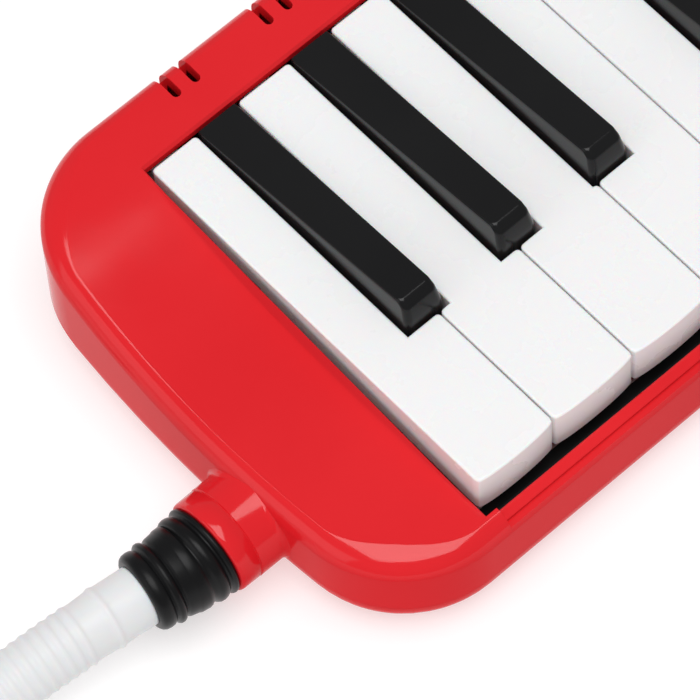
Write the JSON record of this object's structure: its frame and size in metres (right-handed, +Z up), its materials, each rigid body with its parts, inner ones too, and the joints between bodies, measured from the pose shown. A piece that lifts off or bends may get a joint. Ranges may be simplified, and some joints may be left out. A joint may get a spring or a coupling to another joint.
{
  "type": "melodica",
  "caption": "Melodica, a keyboard wind instrument: glossy case, hinged white and black keys, reed block and wind chest inside, drain button, and a blowing hose with its mouthpiece.",
  "frame": {"origin": "middle of the underside, on the surface the feet stand on, without the hose", "axes": "+X along the keyboard to the high notes, +Y from the player to the back, +Z up"},
  "size_m": [0.626, 0.1847, 0.0378],
  "materials": {
    "red_case": "high gloss",
    "white_key": "semi-gloss",
    "black_key": "semi-gloss",
    "black_rubber": "satin",
    "hose_plastic": "translucent",
    "ivory_plastic": "gloss",
    "black_frame": "matt",
    "steel": "bright",
    "plate_metal": "satin",
    "brass": "satin",
    "felt": "felt",
    "foam": "matt"
  },
  "bodies": {
    "body": {"upper_case": "red_case", "lower_case": "red_case", "blow_socket": "red_case", "rubber_feet": "black_rubber", "hose_connector": "black_rubber", "socket_seal": "black_rubber", "hose": "hose_plastic", "mouthpiece": "ivory_plastic", "key_frame": "black_frame", "pivot_rod": "steel", "key_springs": "steel", "key_stop_felt": "felt", "reed_plate_low": "plate_metal", "reed_plate_high": "plate_metal", "reeds": "brass", "reed_rivets": "brass", "plate_screws": "steel", "chest_gasket": "foam", "wind_chest": "black_frame", "chest_screws": "steel", "air_duct": "black_frame", "duct_seal": "foam", "case_screws": "steel", "frame_screws": "steel", "drain_spring": "steel", "drain_tube": "black_frame"},
    "key_01_white": {"key_01_white": "white_key"},
    "key_02_black": {"key_02_black": "black_key"},
    "key_03_white": {"key_03_white": "white_key"},
    "key_04_black": {"key_04_black": "black_key"},
    "key_05_white": {"key_05_white": "white_key"},
    "key_06_black": {"key_06_black": "black_key"},
    "key_07_white": {"key_07_white": "white_key"},
    "key_08_white": {"key_08_white": "white_key"},
    "key_09_black": {"key_09_black": "black_key"},
    "key_10_white": {"key_10_white": "white_key"},
    "key_11_black": {"key_11_black": "black_key"},
    "key_12_white": {"key_12_white": "white_key"},
    "key_13_white": {"key_13_white": "white_key"},
    "key_14_black": {"key_14_black": "black_key"},
    "key_15_white": {"key_15_white": "white_key"},
    "key_16_black": {"key_16_black": "black_key"},
    "key_17_white": {"key_17_white": "white_key"},
    "key_18_black": {"key_18_black": "black_key"},
    "key_19_white": {"key_19_white": "white_key"},
    "key_20_white": {"key_20_white": "white_key"},
    "key_21_black": {"key_21_black": "black_key"},
    "key_22_white": {"key_22_white": "white_key"},
    "key_23_black": {"key_23_black": "black_key"},
    "key_24_white": {"key_24_white": "white_key"},
    "key_25_white": {"key_25_white": "white_key"},
    "key_26_black": {"key_26_black": "black_key"},
    "key_27_white": {"key_27_white": "white_key"},
    "key_28_black": {"key_28_black": "black_key"},
    "key_29_white": {"key_29_white": "white_key"},
    "key_30_black": {"key_30_black": "black_key"},
    "key_31_white": {"key_31_white": "white_key"},
    "key_32_white": {"key_32_white": "white_key"},
    "drain_button": {"drain_button": "black_frame", "drain_seal": "foam"}
  },
  "joints": [
    {"name": "key_01_white_press", "type": "hinge", "parent": "body", "child": "key_01_white", "pos_m": [-0.17605, 0.0137, 0.0241], "axis": [1, 0, 0], "range_deg": [0, 4.2], "stiffness_Nm_per_rad": 0.15, "springref_deg": -17.19, "deforming": ["key_springs"]},
    {"name": "key_02_black_press", "type": "hinge", "parent": "body", "child": "key_02_black", "pos_m": [-0.16467, 0.0137, 0.0241], "axis": [1, 0, 0], "range_deg": [0, 4.2], "stiffness_Nm_per_rad": 0.15, "springref_deg": -17.19},
    {"name": "key_03_white_press", "type": "hinge", "parent": "body", "child": "key_03_white", "pos_m": [-0.1533, 0.0137, 0.0241], "axis": [1, 0, 0], "range_deg": [0, 4.2], "stiffness_Nm_per_rad": 0.15, "springref_deg": -17.19},
    {"name": "key_04_black_press", "type": "hinge", "parent": "body", "child": "key_04_black", "pos_m": [-0.14192, 0.0137, 0.0241], "axis": [1, 0, 0], "range_deg": [0, 4.2], "stiffness_Nm_per_rad": 0.15, "springref_deg": -17.19},
    {"name": "key_05_white_press", "type": "hinge", "parent": "body", "child": "key_05_white", "pos_m": [-0.13055, 0.0137, 0.0241], "axis": [1, 0, 0], "range_deg": [0, 4.2], "stiffness_Nm_per_rad": 0.15, "springref_deg": -17.19},
    {"name": "key_06_black_press", "type": "hinge", "parent": "body", "child": "key_06_black", "pos_m": [-0.11918, 0.0137, 0.0241], "axis": [1, 0, 0], "range_deg": [0, 4.2], "stiffness_Nm_per_rad": 0.15, "springref_deg": -17.19},
    {"name": "key_07_white_press", "type": "hinge", "parent": "body", "child": "key_07_white", "pos_m": [-0.1078, 0.0137, 0.0241], "axis": [1, 0, 0], "range_deg": [0, 4.2], "stiffness_Nm_per_rad": 0.15, "springref_deg": -17.19},
    {"name": "key_08_white_press", "type": "hinge", "parent": "body", "child": "key_08_white", "pos_m": [-0.09642, 0.0137, 0.0241], "axis": [1, 0, 0], "range_deg": [0, 4.2], "stiffness_Nm_per_rad": 0.15, "springref_deg": -17.19},
    {"name": "key_09_black_press", "type": "hinge", "parent": "body", "child": "key_09_black", "pos_m": [-0.08505, 0.0137, 0.0241], "axis": [1, 0, 0], "range_deg": [0, 4.2], "stiffness_Nm_per_rad": 0.15, "springref_deg": -17.19},
    {"name": "key_10_white_press", "type": "hinge", "parent": "body", "child": "key_10_white", "pos_m": [-0.07368, 0.0137, 0.0241], "axis": [1, 0, 0], "range_deg": [0, 4.2], "stiffness_Nm_per_rad": 0.15, "springref_deg": -17.19},
    {"name": "key_11_black_press", "type": "hinge", "parent": "body", "child": "key_11_black", "pos_m": [-0.0623, 0.0137, 0.0241], "axis": [1, 0, 0], "range_deg": [0, 4.2], "stiffness_Nm_per_rad": 0.15, "springref_deg": -17.19},
    {"name": "key_12_white_press", "type": "hinge", "parent": "body", "child": "key_12_white", "pos_m": [-0.05092, 0.0137, 0.0241], "axis": [1, 0, 0], "range_deg": [0, 4.2], "stiffness_Nm_per_rad": 0.15, "springref_deg": -17.19},
    {"name": "key_13_white_press", "type": "hinge", "parent": "body", "child": "key_13_white", "pos_m": [-0.03955, 0.0137, 0.0241], "axis": [1, 0, 0], "range_deg": [0, 4.2], "stiffness_Nm_per_rad": 0.15, "springref_deg": -17.19},
    {"name": "key_14_black_press", "type": "hinge", "parent": "body", "child": "key_14_black", "pos_m": [-0.02817, 0.0137, 0.0241], "axis": [1, 0, 0], "range_deg": [0, 4.2], "stiffness_Nm_per_rad": 0.15, "springref_deg": -17.19},
    {"name": "key_15_white_press", "type": "hinge", "parent": "body", "child": "key_15_white", "pos_m": [-0.0168, 0.0137, 0.0241], "axis": [1, 0, 0], "range_deg": [0, 4.2], "stiffness_Nm_per_rad": 0.15, "springref_deg": -17.19},
    {"name": "key_16_black_press", "type": "hinge", "parent": "body", "child": "key_16_black", "pos_m": [-0.00543, 0.0137, 0.0241], "axis": [1, 0, 0], "range_deg": [0, 4.2], "stiffness_Nm_per_rad": 0.15, "springref_deg": -17.19},
    {"name": "key_17_white_press", "type": "hinge", "parent": "body", "child": "key_17_white", "pos_m": [0.00595, 0.0137, 0.0241], "axis": [1, 0, 0], "range_deg": [0, 4.2], "stiffness_Nm_per_rad": 0.15, "springref_deg": -17.19},
    {"name": "key_18_black_press", "type": "hinge", "parent": "body", "child": "key_18_black", "pos_m": [0.01733, 0.0137, 0.0241], "axis": [1, 0, 0], "range_deg": [0, 4.2], "stiffness_Nm_per_rad": 0.15, "springref_deg": -17.19},
    {"name": "key_19_white_press", "type": "hinge", "parent": "body", "child": "key_19_white", "pos_m": [0.0287, 0.0137, 0.0241], "axis": [1, 0, 0], "range_deg": [0, 4.2], "stiffness_Nm_per_rad": 0.15, "springref_deg": -17.19},
    {"name": "key_20_white_press", "type": "hinge", "parent": "body", "child": "key_20_white", "pos_m": [0.04007, 0.0137, 0.0241], "axis": [1, 0, 0], "range_deg": [0, 4.2], "stiffness_Nm_per_rad": 0.15, "springref_deg": -17.19},
    {"name": "key_21_black_press", "type": "hinge", "parent": "body", "child": "key_21_black", "pos_m": [0.05145, 0.0137, 0.0241], "axis": [1, 0, 0], "range_deg": [0, 4.2], "stiffness_Nm_per_rad": 0.15, "springref_deg": -17.19},
    {"name": "key_22_white_press", "type": "hinge", "parent": "body", "child": "key_22_white", "pos_m": [0.06283, 0.0137, 0.0241], "axis": [1, 0, 0], "range_deg": [0, 4.2], "stiffness_Nm_per_rad": 0.15, "springref_deg": -17.19},
    {"name": "key_23_black_press", "type": "hinge", "parent": "body", "child": "key_23_black", "pos_m": [0.0742, 0.0137, 0.0241], "axis": [1, 0, 0], "range_deg": [0, 4.2], "stiffness_Nm_per_rad": 0.15, "springref_deg": -17.19},
    {"name": "key_24_white_press", "type": "hinge", "parent": "body", "child": "key_24_white", "pos_m": [0.08557, 0.0137, 0.0241], "axis": [1, 0, 0], "range_deg": [0, 4.2], "stiffness_Nm_per_rad": 0.15, "springref_deg": -17.19},
    {"name": "key_25_white_press", "type": "hinge", "parent": "body", "child": "key_25_white", "pos_m": [0.09695, 0.0137, 0.0241], "axis": [1, 0, 0], "range_deg": [0, 4.2], "stiffness_Nm_per_rad": 0.15, "springref_deg": -17.19},
    {"name": "key_26_black_press", "type": "hinge", "parent": "body", "child": "key_26_black", "pos_m": [0.10833, 0.0137, 0.0241], "axis": [1, 0, 0], "range_deg": [0, 4.2], "stiffness_Nm_per_rad": 0.15, "springref_deg": -17.19},
    {"name": "key_27_white_press", "type": "hinge", "parent": "body", "child": "key_27_white", "pos_m": [0.1197, 0.0137, 0.0241], "axis": [1, 0, 0], "range_deg": [0, 4.2], "stiffness_Nm_per_rad": 0.15, "springref_deg": -17.19},
    {"name": "key_28_black_press", "type": "hinge", "parent": "body", "child": "key_28_black", "pos_m": [0.13107, 0.0137, 0.0241], "axis": [1, 0, 0], "range_deg": [0, 4.2], "stiffness_Nm_per_rad": 0.15, "springref_deg": -17.19},
    {"name": "key_29_white_press", "type": "hinge", "parent": "body", "child": "key_29_white", "pos_m": [0.14245, 0.0137, 0.0241], "axis": [1, 0, 0], "range_deg": [0, 4.2], "stiffness_Nm_per_rad": 0.15, "springref_deg": -17.19},
    {"name": "key_30_black_press", "type": "hinge", "parent": "body", "child": "key_30_black", "pos_m": [0.15382, 0.0137, 0.0241], "axis": [1, 0, 0], "range_deg": [0, 4.2], "stiffness_Nm_per_rad": 0.15, "springref_deg": -17.19},
    {"name": "key_31_white_press", "type": "hinge", "parent": "body", "child": "key_31_white", "pos_m": [0.1652, 0.0137, 0.0241], "axis": [1, 0, 0], "range_deg": [0, 4.2], "stiffness_Nm_per_rad": 0.15, "springref_deg": -17.19},
    {"name": "key_32_white_press", "type": "hinge", "parent": "body", "child": "key_32_white", "pos_m": [0.17658, 0.0137, 0.0241], "axis": [1, 0, 0], "range_deg": [0, 4.2], "stiffness_Nm_per_rad": 0.15, "springref_deg": -17.19},
    {"name": "drain_press", "type": "slide", "parent": "body", "child": "drain_button", "axis": [-1, 0, 0], "range_m": [0, 0.002], "stiffness_N_per_m": 900, "springref_m": -0.002, "deforming": ["drain_spring"]}
  ]
}
